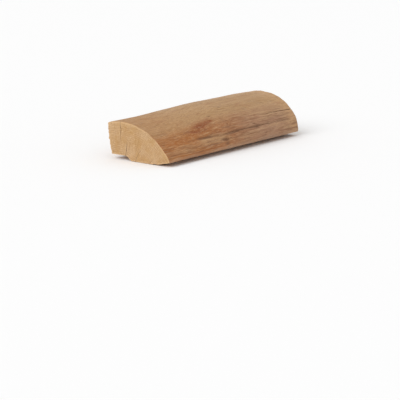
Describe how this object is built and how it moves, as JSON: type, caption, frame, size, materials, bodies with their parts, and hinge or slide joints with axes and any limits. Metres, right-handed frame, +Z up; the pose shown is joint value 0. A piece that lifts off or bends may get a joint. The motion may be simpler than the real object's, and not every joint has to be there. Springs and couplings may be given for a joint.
{
  "type": "split log",
  "caption": "Split firewood log: a billet of dry, debarked hardwood with a round outer side, two riven faces and two sawn ends, lying on its split underside.",
  "frame": {"origin": "middle of the log's outline seen from above, on the surface it lies on", "axes": "+X along the grain from the slim sawn end to the thick sawn end; -Y towards the thin edge; +Y out of the radial split face; +Z up"},
  "size_m": [0.25, 0.0924, 0.0522],
  "materials": {
    "dry_hardwood": "dry, unfinished: matt, with weathered brown streaks on the round side and paler sawn ends"
  },
  "bodies": {
    "root": {"split_log": "dry_hardwood"}
  },
  "joints": []
}
